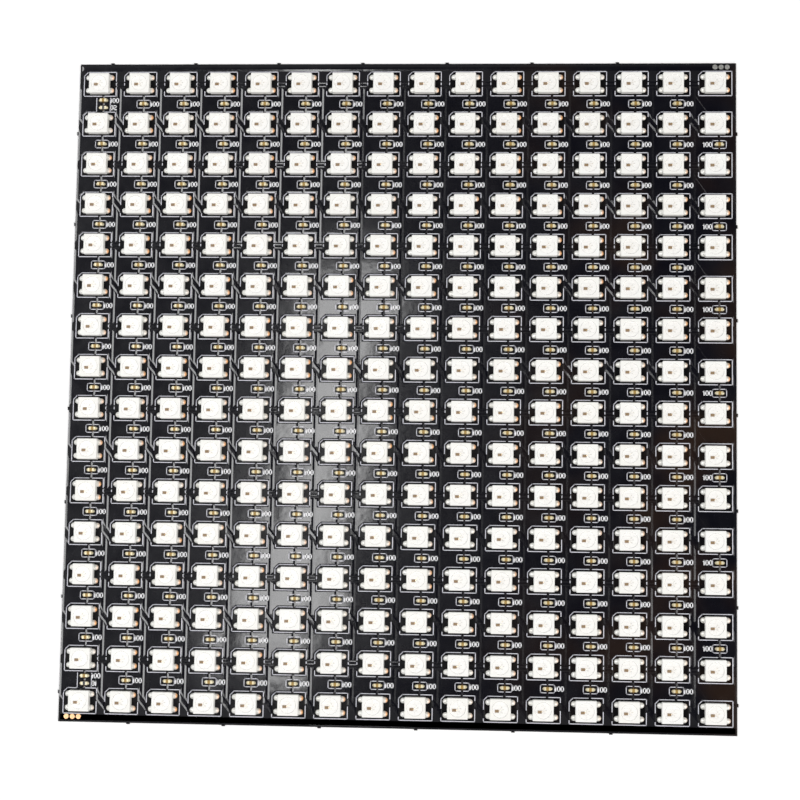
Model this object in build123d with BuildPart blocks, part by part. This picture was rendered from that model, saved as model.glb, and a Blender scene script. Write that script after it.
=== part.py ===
from build123d import *
from math import radians, tan
import os

# A flexible panel of LEDs, flat on its back: X runs along the rows, Y up the columns
# and Z out of the lit face. The origin is the middle of the back. Row 1 is at the top
# and column 1 at the left. Every length is in millimetres.

# Grid of LEDs, and the strip of bare board outside it
led_pitch = 10.0
leds_per_side = 16
edge_strip = 2.5

# Flexible board, and the stubs that its break-off tabs left on the edges
board_thickness = 0.25
stub_width = 0.8
stub_reach = 0.3
top_stub_start = 8.0
top_stub_spacing = 20.6
bottom_stub_start = 16.8
bottom_stub_spacing = 22.8
side_stub_start = 7.0
side_stub_spacing = 22.6
stub_end_margin = 8.0

# LED housing, moulded with a draft on its sides
led_size = 5.0
led_height = 1.57
led_draft = 2.0

# LED lead: a foot and its solder, sloping down from the housing to the board
lead_width = 1.1
lead_reach = 1.05
lead_height = 0.8
lead_corner_inset = 0.3

# Chip capacitors and resistors, with the solder at both ends
chip_length = 1.6
chip_width = 0.8
capacitor_height = 0.8
resistor_height = 0.5
chip_solder_reach = 0.4
chip_shift = 1.0
chip_pair_gap = 1.0

# Round lands for the supply and data wires
land_diameter = 1.2
land_sides = 16
land_height = 0.1
land_gap = 0.25
lands_per_end = 3
lower_land_edge_gap = 0.65
lower_land_shift = -1.65
upper_land_edge_gap = 0.35
upper_land_shift = 1.45

# Sizes that follow from those above
grid_span = (leds_per_side - 1) * led_pitch
board_size = grid_span + led_size + 2 * edge_strip
land_pitch = land_diameter + land_gap
chip_pair_spacing = chip_width + chip_pair_gap
lead_offset = led_size / 2 - lead_corner_inset - lead_width / 2


def row_y(row):
    """Height of a row of LEDs on the panel, where row 1 is the top one."""
    return grid_span / 2 - (row - 1) * led_pitch


def column_x(column):
    """Place of a column of LEDs on the panel, where column 1 is the left one."""
    return (column - 1) * led_pitch - grid_span / 2


def stub_places(start, spacing):
    """Places along an edge of the stubs that fit on it, measured from its middle."""
    count = int((board_size - start - stub_end_margin) / spacing) + 1
    return [start + step * spacing - board_size / 2 for step in range(count)]


def soldered_chip(height):
    """One chip part, flared by its solder from the block's own length at the top."""
    foot = chip_length / 2 + chip_solder_reach
    with BuildPart() as chip:
        with BuildSketch(Plane.XZ):
            with BuildLine():
                Polyline(
                    (-foot, 0),
                    (foot, 0),
                    (chip_length / 2, height),
                    (-chip_length / 2, height),
                    close=True,
                )
            make_face()
        extrude(amount=chip_width / 2, both=True)
    return chip.part


def save(part, label):
    """Name a finished piece and write its file."""
    part.label = label
    export_step(part, f"parts/{label}.step")


os.makedirs("parts", exist_ok=True)

# Flexible board
with BuildPart() as flex_board:
    with BuildSketch():
        Rectangle(board_size, board_size)
        with Locations(*[(x, board_size / 2) for x in stub_places(top_stub_start, top_stub_spacing)]):
            Rectangle(stub_width, 2 * stub_reach)
        with Locations(*[(x, -board_size / 2) for x in stub_places(bottom_stub_start, bottom_stub_spacing)]):
            Rectangle(stub_width, 2 * stub_reach)
        for side_x in (-board_size / 2, board_size / 2):
            with Locations(*[(side_x, y) for y in stub_places(side_stub_start, side_stub_spacing)]):
                Rectangle(2 * stub_reach, stub_width)
    extrude(amount=board_thickness)
save(flex_board.part, "flex_board")

# One LED housing, seated on the board at the middle of the panel
with BuildPart() as led_housing:
    with BuildSketch(Plane.XY.offset(board_thickness)):
        Rectangle(led_size, led_size)
    extrude(amount=led_height, taper=led_draft)

# The four leads of one LED, against the drafted walls of its housing
with BuildPart() as led_leads:
    for lead_y in (-lead_offset, lead_offset):
        with BuildSketch(Plane.XZ.offset(lead_y)):
            with BuildLine():
                Polyline(
                    (led_size / 2, board_thickness),
                    (led_size / 2 + lead_reach, board_thickness),
                    (
                        led_size / 2 - lead_height * tan(radians(led_draft)),
                        board_thickness + lead_height,
                    ),
                    close=True,
                )
            make_face()
            mirror(about=Plane.YZ)
        extrude(amount=lead_width / 2, both=True)

# Rows of LEDs: the housings are one group of pieces, and their leads another
for row in range(1, leds_per_side + 1):
    with BuildPart() as led_row:
        with Locations((0, row_y(row))):
            with GridLocations(led_pitch, led_pitch, leds_per_side, 1):
                add(led_housing.part)
    save(led_row.part, f"led_row_{row:02d}")

    with BuildPart() as lead_row:
        with Locations((0, row_y(row))):
            with GridLocations(led_pitch, led_pitch, leds_per_side, 1):
                add(led_leads.part)
    save(lead_row.part, f"lead_row_{row:02d}")

# Capacitors stand between the rows, one below each LED. The last column has them only
# below its even rows. In the first column, the capacitors below the first row and the
# last row but one are moved up, to share their place with a resistor.
capacitor = soldered_chip(capacitor_height)
resistor_rows = (1, leds_per_side - 1)
for row in range(1, leds_per_side):
    gap_y = row_y(row) - led_pitch / 2
    last_column = leds_per_side if row % 2 == 0 else leds_per_side - 1
    spots = [(column_x(column) + chip_shift, gap_y) for column in range(1, last_column + 1)]
    if row in resistor_rows:
        spots[0] = (column_x(1) + chip_shift, gap_y + chip_pair_spacing / 2)
    with BuildPart() as capacitor_row:
        with Locations(*[(x, y, board_thickness) for x, y in spots]):
            add(capacitor)
    save(capacitor_row.part, f"capacitor_row_{row:02d}")

# One resistor in series with the data line at each end of the chain of LEDs
resistor = soldered_chip(resistor_height)
for row, name in zip(resistor_rows, ("upper_resistor", "lower_resistor")):
    resistor_y = row_y(row) - led_pitch / 2 - chip_pair_spacing / 2
    with BuildPart() as data_resistor:
        with Locations((column_x(1) + chip_shift, resistor_y, board_thickness)):
            add(resistor)
    save(data_resistor.part, name)

# Wire lands beside the last LED of the first column and the first LED of the last one
lower_land_y = -board_size / 2 + lower_land_edge_gap + land_diameter / 2
with BuildPart() as lower_wire_lands:
    with BuildSketch(Plane.XY.offset(board_thickness)):
        with Locations((column_x(1) + lower_land_shift, lower_land_y)):
            with GridLocations(land_pitch, land_pitch, lands_per_end, 1):
                RegularPolygon(land_diameter / 2, land_sides)
    extrude(amount=land_height)
save(lower_wire_lands.part, "lower_wire_lands")

upper_land_y = board_size / 2 - upper_land_edge_gap - land_diameter / 2
with BuildPart() as upper_wire_lands:
    with BuildSketch(Plane.XY.offset(board_thickness)):
        with Locations((column_x(leds_per_side) + upper_land_shift, upper_land_y)):
            with GridLocations(land_pitch, land_pitch, lands_per_end, 1):
                RegularPolygon(land_diameter / 2, land_sides)
    extrude(amount=land_height)
save(upper_wire_lands.part, "upper_wire_lands")
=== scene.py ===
"""Dress the flexible LED panel, then light and frame it as in its photograph.

The panel lies on its back: X runs along the rows, Y up towards the first row and Z out
of the lit face. Blender works in metres; sizes of the small parts are named in
millimetres and turned into metres by MM.
"""

import logging
import math
from collections.abc import Iterable, Sequence
from dataclasses import dataclass
from enum import Enum

import bmesh
import bpy
from mathutils import Matrix, Vector


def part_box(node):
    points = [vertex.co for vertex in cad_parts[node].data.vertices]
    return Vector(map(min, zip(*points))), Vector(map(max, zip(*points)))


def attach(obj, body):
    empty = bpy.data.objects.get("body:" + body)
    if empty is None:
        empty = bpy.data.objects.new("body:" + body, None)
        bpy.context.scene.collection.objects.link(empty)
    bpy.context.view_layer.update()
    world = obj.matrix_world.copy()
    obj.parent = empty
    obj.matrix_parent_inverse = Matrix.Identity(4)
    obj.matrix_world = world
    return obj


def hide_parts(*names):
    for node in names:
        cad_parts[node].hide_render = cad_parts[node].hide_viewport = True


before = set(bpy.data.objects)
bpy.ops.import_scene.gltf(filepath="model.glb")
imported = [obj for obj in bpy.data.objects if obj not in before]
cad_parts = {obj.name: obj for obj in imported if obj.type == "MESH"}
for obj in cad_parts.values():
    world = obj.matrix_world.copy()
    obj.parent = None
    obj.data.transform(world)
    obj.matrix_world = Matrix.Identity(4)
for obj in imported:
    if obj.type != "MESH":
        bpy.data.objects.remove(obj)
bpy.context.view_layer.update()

MM = 0.001
TOUCH = 0.0001 * MM
HAIR = 0.00001 * MM
POWER_PER_BRIGHTNESS = 6.4
LOG = logging.getLogger("led_panel")

RESISTOR_NODES = ("upper_resistor", "lower_resistor")
RESISTOR_NUMBERS = ("02", "01")
CAPACITOR_NUMBER = "100"

# Ranges of a noise pattern that are stretched over a finish's two ends
WHOLE_SPAN = (0.0, 1.0)
CLOUD_SPAN = (0.3, 0.7)
MOTTLE_SPAN = (0.35, 0.65)

Colour = tuple[float, float, float]
Place = tuple[float, float, float]
Point = tuple[float, float]
Line = tuple[Point, Point]


class Slot(Enum):
    """Material slots of the record; no piece in this script is given one."""

    FILM = "flex_film"
    HOUSING = "led_housing"
    SOLDER = "solder"
    CAPACITOR = "capacitor_ceramic"
    RESISTOR = "resistor_ceramic"


class Side(Enum):
    """The side of a middle line that a feature stands on: towards the axis's start or its end."""

    START = -1
    END = 1


@dataclass(frozen=True)
class Layout:
    """Places and heights on the panel, in metres, as the frame gives them."""

    rows: int
    pitch: float
    led_side: float
    led_top: float
    board_top: float

    @classmethod
    def from_frame(cls) -> "Layout":
        """Read the grid from the first row of LEDs, and the sheet's top from the board.

        Returns:
            The panel's layout.
        """
        rows = sum(node.startswith("led_row_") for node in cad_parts)
        row_low, row_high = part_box("led_row_01")
        board_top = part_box("flex_board")[1].z
        led_side = row_high.y - row_low.y
        pitch = (row_high.x - row_low.x - led_side) / (rows - 1)
        return cls(rows, pitch, led_side, row_high.z, board_top)

    @property
    def edge(self) -> float:
        """Distance of the sheet's own edge from its middle, without the stubs."""
        return self.rows * self.pitch / 2

    def column_x(self, column: int) -> float:
        """Place of a column of LEDs, where column 1 is the left one."""
        return (column - 1) * self.pitch - (self.rows - 1) * self.pitch / 2

    def row_y(self, row: int) -> float:
        """Height of a row of LEDs, where row 1 is the top one."""
        return (self.rows - 1) * self.pitch / 2 - (row - 1) * self.pitch

    def chip_below(self, row: int, column: int) -> bool:
        """Whether a chip stands below an LED: the last column has them only below its even rows."""
        return 0 < row < self.rows and (column < self.rows or row % 2 == 0)

    def led_spots(self, row: int) -> list[Vector]:
        """Middles of the LEDs of one row."""
        return [Vector((self.column_x(column), self.row_y(row), 0.0)) for column in range(1, self.rows + 1)]

    def all_led_spots(self) -> list[Vector]:
        """Middles of all the LEDs, row by row."""
        return [spot for row in range(1, self.rows + 1) for spot in self.led_spots(row)]


@dataclass(frozen=True)
class ChipSpots:
    """Places of the small chip parts, in metres, as the frame gives them."""

    layout: Layout
    chip_length: float = 1.6 * MM
    solder_reach: float = 0.4 * MM

    def capacitor_rows(self) -> list[str]:
        """Names of the nodes that hold the rows of capacitors."""
        return sorted(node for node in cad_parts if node.startswith("capacitor_row_"))

    def spots(self, node: str) -> list[Vector]:
        """Work out where the chips of a node stand.

        Args:
            node: A row of capacitors or a resistor. The first chip of a row may be
                higher up than the others.

        Returns:
            The middle of each chip's foot.
        """
        low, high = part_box(node)
        half_width = self.width(node) / 2
        half_length = self.chip_length / 2 + self.solder_reach
        count = round((high.x - low.x - 2 * half_length) / self.layout.pitch) + 1
        spots = [
            Vector((low.x + half_length + step * self.layout.pitch, low.y + half_width, low.z))
            for step in range(count)
        ]
        spots[0].y = high.y - half_width
        return spots

    def width(self, node: str) -> float:
        """Width of a chip, taken from a row in which all chips stand in line."""
        low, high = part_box("capacitor_row_02" if node.startswith("capacitor") else node)
        return high.y - low.y

    def height(self, node: str) -> float:
        """Height of a chip above its foot."""
        low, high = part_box(node)
        return high.z - low.z


class NodeTree:
    """Short calls that add and join the nodes of one tree."""

    def __init__(self, tree: bpy.types.NodeTree) -> None:
        """Take a tree over."""
        self.tree = tree

    def node(self, kind: str, **settings: object) -> bpy.types.Node:
        """Add a node.

        Args:
            kind: Its type.
            settings: Its settings, by name.

        Returns:
            The node.
        """
        node = self.tree.nodes.new(kind)
        for name, value in settings.items():
            setattr(node, name, value)
        return node

    def link(self, source: bpy.types.NodeSocket, target: bpy.types.NodeSocket) -> None:
        """Join two sockets."""
        self.tree.links.new(source, target)

    def feed(self, socket: bpy.types.NodeSocket, value: "bpy.types.NodeSocket | float") -> None:
        """Give a socket what it needs.

        Args:
            socket: The socket.
            value: Another node's output, or a plain number.
        """
        if isinstance(value, bpy.types.NodeSocket):
            self.link(value, socket)
        else:
            socket.default_value = value

    def sums(self, operation: str, *values: "bpy.types.NodeSocket | float") -> bpy.types.NodeSocket:
        """Apply a Math node.

        Args:
            operation: The Math node's operation.
            values: Its inputs, in order.

        Returns:
            The result's socket.
        """
        node = self.node("ShaderNodeMath", operation=operation)
        for socket, value in zip(node.inputs, values):
            self.feed(socket, value)
        return node.outputs[0]

    def remap(self, value: bpy.types.NodeSocket, span: Point, target: Point) -> bpy.types.NodeSocket:
        """Stretch a number from one range to another, smoothly and without passing its ends.

        Args:
            value: The number.
            span: The range that it comes from.
            target: The range that it goes to.

        Returns:
            The result's socket.
        """
        node = self.node("ShaderNodeMapRange", interpolation_type="SMOOTHSTEP")
        self.link(value, node.inputs["Value"])
        for name, number in zip(("From Min", "From Max", "To Min", "To Max"), (*span, *target)):
            node.inputs[name].default_value = number
        return node.outputs["Result"]


class Shader(NodeTree):
    """Node tree of one material, with short calls for the nodes that the finishes share."""

    def __init__(self, name: str) -> None:
        """Start a material that holds only a Principled shader.

        Args:
            name: Name of the material.
        """
        self.material = bpy.data.materials.new(name)
        self.material.use_nodes = True
        super().__init__(self.material.node_tree)
        self.surface = self.tree.nodes["Principled BSDF"]

    def set(self, **values: float | Colour) -> None:
        """Set sockets of the Principled shader.

        Args:
            values: Their values, by name; an underscore stands for a space.
        """
        for name, value in values.items():
            socket = self.surface.inputs[name.replace("_", " ")]
            socket.default_value = (*value, 1.0) if isinstance(value, tuple) else value

    def coordinates(self) -> bpy.types.NodeSocket:
        """Place of the shaded point on the panel, in metres."""
        return self.node("ShaderNodeTexCoord").outputs["Object"]

    def axis(self, name: str) -> bpy.types.NodeSocket:
        """Read one coordinate of the shaded point.

        Args:
            name: The axis.

        Returns:
            The coordinate's socket, in metres.
        """
        split = self.node("ShaderNodeSeparateXYZ")
        self.link(self.coordinates(), split.inputs[0])
        return split.outputs[name]

    def noise(
        self, grain: float, detail: float = 2.0, stretch: Colour = (1.0, 1.0, 1.0)
    ) -> bpy.types.NodeSocket:
        """Add a cloudy pattern.

        Args:
            grain: Size of its grain, in metres.
            detail: Octaves of finer grain.
            stretch: How many times finer the pattern is along each axis.

        Returns:
            The pattern's socket, from 0 to 1.
        """
        place = self.node("ShaderNodeMapping")
        self.link(self.coordinates(), place.inputs["Vector"])
        place.inputs["Scale"].default_value = stretch
        node = self.node("ShaderNodeTexNoise")
        node.inputs["Scale"].default_value = 1.0 / grain
        node.inputs["Detail"].default_value = detail
        self.link(place.outputs[0], node.inputs["Vector"])
        return node.outputs["Fac"]

    def cell_chance(self, pitch: float, seed: float, lift: float = 0.0) -> bpy.types.NodeSocket:
        """A number from 0 to 1 that is the same all over one cell of a square grid.

        Args:
            pitch: Width of a cell, in metres.
            seed: Picks another set of numbers.
            lift: How far the grid is moved down from the LEDs' own, in metres.

        Returns:
            The number's socket.
        """
        moved = self.node("ShaderNodeVectorMath", operation="ADD")
        self.link(self.coordinates(), moved.inputs[0])
        moved.inputs[1].default_value = (0.0, lift, 0.0)
        snap = self.node("ShaderNodeVectorMath", operation="SNAP")
        self.link(moved.outputs[0], snap.inputs[0])
        snap.inputs[1].default_value = (pitch, pitch, 1.0)
        shift = self.node("ShaderNodeVectorMath", operation="MULTIPLY_ADD")
        self.link(snap.outputs[0], shift.inputs[0])
        shift.inputs[1].default_value = (1.0 / pitch, 1.0 / pitch, 0.0)
        shift.inputs[2].default_value = (0.5 + seed, 0.5, 0.5)
        chance = self.node("ShaderNodeTexWhiteNoise", noise_dimensions="3D")
        self.link(shift.outputs[0], chance.inputs["Vector"])
        return chance.outputs["Value"]

    def blend(
        self, factor: bpy.types.NodeSocket, first: "Colour | bpy.types.NodeSocket", second: Colour
    ) -> bpy.types.NodeSocket:
        """Mix two colours.

        Args:
            factor: Share of the second colour.
            first: The first colour, or the socket that gives it.
            second: The second colour.

        Returns:
            The mixed colour's socket.
        """
        node = self.node("ShaderNodeMix", data_type="RGBA")
        self.link(factor, node.inputs[0])
        if isinstance(first, bpy.types.NodeSocket):
            self.link(first, node.inputs[6])
        else:
            node.inputs[6].default_value = (*first, 1.0)
        node.inputs[7].default_value = (*second, 1.0)
        return node.outputs[2]

    def emboss(self, height: bpy.types.NodeSocket, depth: float, coat: bool = False) -> None:
        """Let a height pattern tilt the surface.

        Args:
            height: The pattern.
            depth: Height in metres of one unit of the pattern.
            coat: Whether the clear coat is tilted as well.
        """
        bump = self.node("ShaderNodeBump")
        bump.inputs["Strength"].default_value = 1.0
        bump.inputs["Distance"].default_value = depth
        self.link(height, bump.inputs["Height"])
        self.link(bump.outputs[0], self.surface.inputs["Normal"])
        if coat:
            self.link(bump.outputs[0], self.surface.inputs["Coat Normal"])


@dataclass(frozen=True)
class FilmFinish:
    """Black coverlay of the board. It is duller on the right, carries a painted warm reflection there, and
    lies differently in each cell.
    """

    name: str
    layout: Layout
    colour: Colour
    worn_colour: Colour
    # Colour of a painted warm reflection that grows over the right half.
    warm_colour: Colour = (0.024, 0.013, 0.008)
    roughness: Point = (0.20, 0.28)
    specular: float = 0.15
    coat: float = 0.85
    dull_coat: float = 0.25
    coat_roughness: float = 0.08
    cell_tilt: float = math.radians(0.45)
    wave_depth: float = 0.03 * MM
    wave_size: float = 14 * MM
    dent_depth: float = 0.006 * MM
    dent_size: float = 1.6 * MM
    grain_depth: float = 0.0006 * MM
    grain_size: float = 0.4 * MM
    wave_stretch: Colour = (1.6, 0.6, 1.0)
    patch_size: float = 9 * MM
    patch_span: Point = (0.4, 0.7)
    warm_size: float = 24 * MM
    warm_span: Point = (0.45, 0.7)
    warm_share: float = 0.8
    smear_size: float = 3 * MM
    smear_detail: float = 4.0
    tilt_seeds: Point = (11.0, 17.0)

    def material(self) -> bpy.types.Material:
        """Make the film's material.

        Returns:
            The material.
        """
        shader = Shader(self.name)
        shader.set(Specular_IOR_Level=self.specular, Coat_Roughness=self.coat_roughness)
        right_half = (0.0, self.layout.edge)
        gloss = shader.remap(shader.axis("X"), right_half, (self.coat, self.dull_coat))
        shader.link(gloss, shader.surface.inputs["Coat Weight"])
        patches = shader.remap(shader.noise(self.patch_size), self.patch_span, WHOLE_SPAN)
        worn = shader.blend(patches, self.colour, self.worn_colour)
        # Painted warm reflection, in cloudy patches that grow towards the right.
        warm_reflection = shader.sums(
            "MULTIPLY",
            shader.remap(shader.noise(self.warm_size), self.warm_span, WHOLE_SPAN),
            shader.remap(shader.axis("X"), right_half, (0.0, self.warm_share)),
        )
        shader.link(shader.blend(warm_reflection, worn, self.warm_colour), shader.surface.inputs["Base Color"])
        smears = shader.noise(self.smear_size, detail=self.smear_detail)
        rough = shader.remap(smears, CLOUD_SPAN, self.roughness)
        shader.link(rough, shader.surface.inputs["Roughness"])
        shader.emboss(self._height(shader), 1.0, coat=True)
        return shader.material

    def _height(self, shader: Shader) -> bpy.types.NodeSocket:
        """Sum the tilt of each cell, the slow waves, the dents and the fine grain.

        Args:
            shader: The film's node tree.

        Returns:
            The height's socket, in metres.
        """
        seed_x, seed_y = self.tilt_seeds
        tilt_x = self._tilt(shader, "X", offset=0.0, seed=seed_x)
        tilt_y = self._tilt(shader, "Y", offset=0.5, seed=seed_y)
        tilt = shader.sums("ADD", tilt_x, tilt_y)
        swell = shader.noise(self.wave_size, detail=1.0, stretch=self.wave_stretch)
        waves = shader.sums("MULTIPLY", swell, self.wave_depth)
        dents = shader.sums("MULTIPLY", shader.noise(self.dent_size, detail=1.0), self.dent_depth)
        grain = shader.sums("MULTIPLY", shader.noise(self.grain_size), self.grain_depth)
        return shader.sums("ADD", shader.sums("ADD", tilt, waves), shader.sums("ADD", dents, grain))

    def _tilt(self, shader: Shader, axis: str, offset: float, seed: float) -> bpy.types.NodeSocket:
        """Height that a cell gains along one axis by its own small tilt.

        Args:
            shader: The film's node tree.
            axis: Name of the axis.
            offset: Where the cells begin along it, in cells.
            seed: Picks the set of tilts.

        Returns:
            The height's socket, in metres.
        """
        pitch = self.layout.pitch
        chance = shader.cell_chance(pitch, seed, pitch / 2)
        slope = shader.sums("MULTIPLY", shader.sums("SUBTRACT", chance, 0.5), 2 * self.cell_tilt)
        cells = shader.sums("ADD", shader.sums("DIVIDE", shader.axis(axis), pitch), offset)
        way = shader.sums("MULTIPLY", shader.sums("FRACT", cells), pitch)
        return shader.sums("MULTIPLY", slope, way)


@dataclass(frozen=True)
class MouldingFinish:
    """White moulded plastic of the LED housings."""

    layout: Layout
    colour: Colour = (0.92, 0.92, 0.90)
    warm_colour: Colour = (0.90, 0.89, 0.85)
    roughness: Point = (0.42, 0.55)
    cloud_size: float = 0.5 * MM
    grain_size: float = 0.12 * MM
    grain_depth: float = 0.004 * MM
    seed: float = 3.0

    def material(self) -> bpy.types.Material:
        """Make the moulding's material: each body is a little warmer or cooler than the next.

        Returns:
            The material.
        """
        shader = Shader("white_moulding")
        chance = shader.cell_chance(self.layout.pitch, self.seed)
        tint = shader.blend(chance, self.colour, self.warm_colour)
        shader.link(tint, shader.surface.inputs["Base Color"])
        rough = shader.remap(shader.noise(self.cloud_size, detail=3.0), CLOUD_SPAN, self.roughness)
        shader.link(rough, shader.surface.inputs["Roughness"])
        shader.emboss(shader.noise(self.grain_size, detail=3.0), self.grain_depth)
        return shader.material


@dataclass(frozen=True)
class MetalFinish:
    """Bright metal that differs a little from joint to joint."""

    name: str
    layout: Layout
    colour: Colour
    second_colour: Colour
    roughness: Point = (0.25, 0.45)
    grain: float = 0.25 * MM
    depth: float = 0.012 * MM
    seed: float = 7.0
    metallic: float = 1.0

    def material(self) -> bpy.types.Material:
        """Make the metal's material.

        Returns:
            The material.
        """
        shader = Shader(self.name)
        shader.set(Metallic=self.metallic)
        shader.link(self.tint(shader), shader.surface.inputs["Base Color"])
        rough = shader.remap(shader.noise(self.grain, detail=3.0), CLOUD_SPAN, self.roughness)
        shader.link(rough, shader.surface.inputs["Roughness"])
        shader.emboss(shader.noise(self.grain, detail=2.0), self.depth)
        return shader.material

    def tint(self, shader: Shader) -> bpy.types.NodeSocket:
        """Mix the two colours by a chance for each cell and by a fine mottle.

        Args:
            shader: The metal's node tree.

        Returns:
            The colour's socket.
        """
        chance = shader.cell_chance(self.layout.pitch, self.seed)
        mottle = shader.remap(shader.noise(self.grain * 2), MOTTLE_SPAN, WHOLE_SPAN)
        return shader.blend(shader.sums("MULTIPLY", chance, mottle), self.colour, self.second_colour)


@dataclass(frozen=True)
class SolderFinish(MetalFinish):
    """Solder of the LEDs: silvery on the left of each LED, with a painted warm reflection on its right."""

    # Orange of the painted warm reflection on the right-hand joints.
    reflection_tint: Colour = (0.96, 0.47, 0.18)
    reflection_span: Point = (0.775, 0.84)
    inner_share: float = 0.05
    patch_size: float = 22 * MM
    patch_span: Point = (0.35, 0.6)
    patch_shares: Point = (0.2, 1.0)
    fade_reach: Point = (-0.2, 0.9)
    fade_share: float = 0.7

    def tint(self, shader: Shader) -> bpy.types.NodeSocket:
        """Add a painted warm reflection to the right-hand joints, which fades towards the lower right.

        Args:
            shader: The solder's node tree.

        Returns:
            The colour's socket.
        """
        silver = super().tint(shader)
        across = shader.sums("FRACT", shader.sums("DIVIDE", shader.axis("X"), self.layout.pitch))
        right = shader.sums("GREATER_THAN", across, 0.5)
        patches = shader.noise(self.patch_size, detail=1.0)
        patch = shader.remap(patches, self.patch_span, self.patch_shares)
        start, end = (reach * self.layout.edge for reach in self.fade_reach)
        fade_x = shader.remap(shader.axis("X"), (start, end), (0.0, self.fade_share))
        fade_y = shader.remap(shader.axis("Y"), (-end, -start), (1.0, 0.0))
        kept = shader.sums("SUBTRACT", 1.0, shader.sums("MULTIPLY", fade_x, fade_y))
        # Painted warm reflection: strongest at the outer side of each right-hand joint, fading towards the
        # lower right.
        outer = shader.remap(across, self.reflection_span, (self.inner_share, 1.0))
        spread = shader.sums("MULTIPLY", kept, outer)
        share = shader.sums("MULTIPLY", shader.sums("MULTIPLY", right, patch), spread)
        return shader.blend(share, silver, self.reflection_tint)


@dataclass(frozen=True)
class MatterFinish:
    """Plain solid matter with a mottle: ceramic, ink, silicon or resin."""

    name: str
    colour: Colour
    second_colour: Colour
    roughness: Point = (0.4, 0.6)
    grain: float = 0.3 * MM
    depth: float = 0.005 * MM
    alpha: float = 1.0

    def material(self) -> bpy.types.Material:
        """Make the material.

        Returns:
            The material.
        """
        shader = Shader(self.name)
        shader.set(Alpha=self.alpha)
        mottle = shader.remap(shader.noise(self.grain, detail=3.0), MOTTLE_SPAN, WHOLE_SPAN)
        tint = shader.blend(mottle, self.colour, self.second_colour)
        shader.link(tint, shader.surface.inputs["Base Color"])
        rough = shader.remap(shader.noise(self.grain * 3, detail=2.0), CLOUD_SPAN, self.roughness)
        shader.link(rough, shader.surface.inputs["Roughness"])
        shader.emboss(shader.noise(self.grain, detail=2.0), self.depth)
        return shader.material


def everything(shape: bmesh.types.BMesh) -> list:
    """All vertices, edges and faces of a shape, as the operators take them."""
    return shape.verts[:] + shape.edges[:] + shape.faces[:]


def open_edges(shape: bmesh.types.BMesh) -> list[bmesh.types.BMEdge]:
    """Edges that only one face of a shape uses."""
    return [edge for edge in shape.edges if edge.is_boundary]


def new_of(result: dict, kind: type) -> list:
    """Parts of one kind among what an operator made."""
    return [part for part in result["geom"] if isinstance(part, kind)]


def add_block(
    shape: bmesh.types.BMesh, size: Sequence[float], middle: Sequence[float], turn: float = 0.0
) -> list[bmesh.types.BMVert]:
    """Add a rectangular block.

    Args:
        shape: The shape that gets it.
        size: Its length, width and height.
        middle: Its middle.
        turn: Its turn about the upright through its middle, in radians.

    Returns:
        The block's vertices.
    """
    place = Matrix.Translation(middle) @ Matrix.Rotation(turn, 4, "Z") @ Matrix.Diagonal((*size, 1.0))
    return bmesh.ops.create_cube(shape, size=1.0, matrix=place)["verts"]


def soften(
    shape: bmesh.types.BMesh, edges: Iterable[bmesh.types.BMEdge], width: float, segments: int = 1
) -> None:
    """Bevel edges of a shape.

    Args:
        shape: The shape.
        edges: The edges to bevel.
        width: Width of the bevel.
        segments: Number of its strips.
    """
    bmesh.ops.bevel(
        shape,
        geom=list(edges),
        offset=width,
        offset_type="OFFSET",
        segments=segments,
        profile=0.5,
        affect="EDGES",
        material=-1,
    )


def trim(
    shape: bmesh.types.BMesh, point: Sequence[float], outward: Sequence[float], close: bool = True
) -> None:
    """Cut off what lies beyond a plane.

    Args:
        shape: The shape.
        point: A point on the plane.
        outward: The plane's normal, on the side that is cut off.
        close: Whether the cut is filled.
    """
    bmesh.ops.bisect_plane(
        shape, geom=everything(shape), dist=HAIR, plane_co=point, plane_no=outward, clear_outer=True
    )
    if close:
        bmesh.ops.holes_fill(shape, edges=open_edges(shape), sides=0)


def repeat(
    unit: bmesh.types.BMesh, spots: Iterable[Vector], whole: bmesh.types.BMesh | None = None
) -> bmesh.types.BMesh:
    """Copy a shape to each of many places, and free it.

    Args:
        unit: The shape.
        spots: Where its origin goes.
        whole: The shape that gets the copies, or None for a new one.

    Returns:
        The shape with the copies.
    """
    bmesh.ops.recalc_face_normals(unit, faces=unit.faces[:])
    pattern = bpy.data.meshes.new("pattern")
    unit.to_mesh(pattern)
    unit.free()
    whole = whole or bmesh.new()
    for spot in spots:
        first = len(whole.verts)
        whole.from_mesh(pattern)
        whole.verts.ensure_lookup_table()
        bmesh.ops.translate(whole, verts=whole.verts[first:], vec=spot)
    bpy.data.meshes.remove(pattern)
    return whole


def finish_piece(
    shape: bmesh.types.BMesh,
    name: str,
    material: bpy.types.Material,
    replaces: Sequence[str] = (),
) -> bpy.types.Object:
    """Turn a shape into a piece that rides on the panel.

    Args:
        shape: The shape, in its place; it is freed.
        name: Name of the piece.
        material: Its material.
        replaces: Nodes that it stands for.

    Returns:
        The piece.
    """
    mesh = bpy.data.meshes.new(name)
    shape.to_mesh(mesh)
    shape.free()
    mesh.materials.append(material)
    piece = bpy.data.objects.new(name, mesh)
    bpy.context.scene.collection.objects.link(piece)
    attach(piece, "root")
    if replaces:
        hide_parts(*replaces)
    LOG.info("%s: %d faces", name, len(mesh.polygons))
    return piece


def dress_node(node: str, material: bpy.types.Material) -> None:
    """Give a node that stays as it is its material.

    Args:
        node: The node.
        material: Its material.
    """
    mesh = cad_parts[node].data
    mesh.materials.clear()
    mesh.materials.append(material)
    LOG.info("%s: dressed with %s", node, material.name)


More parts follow.
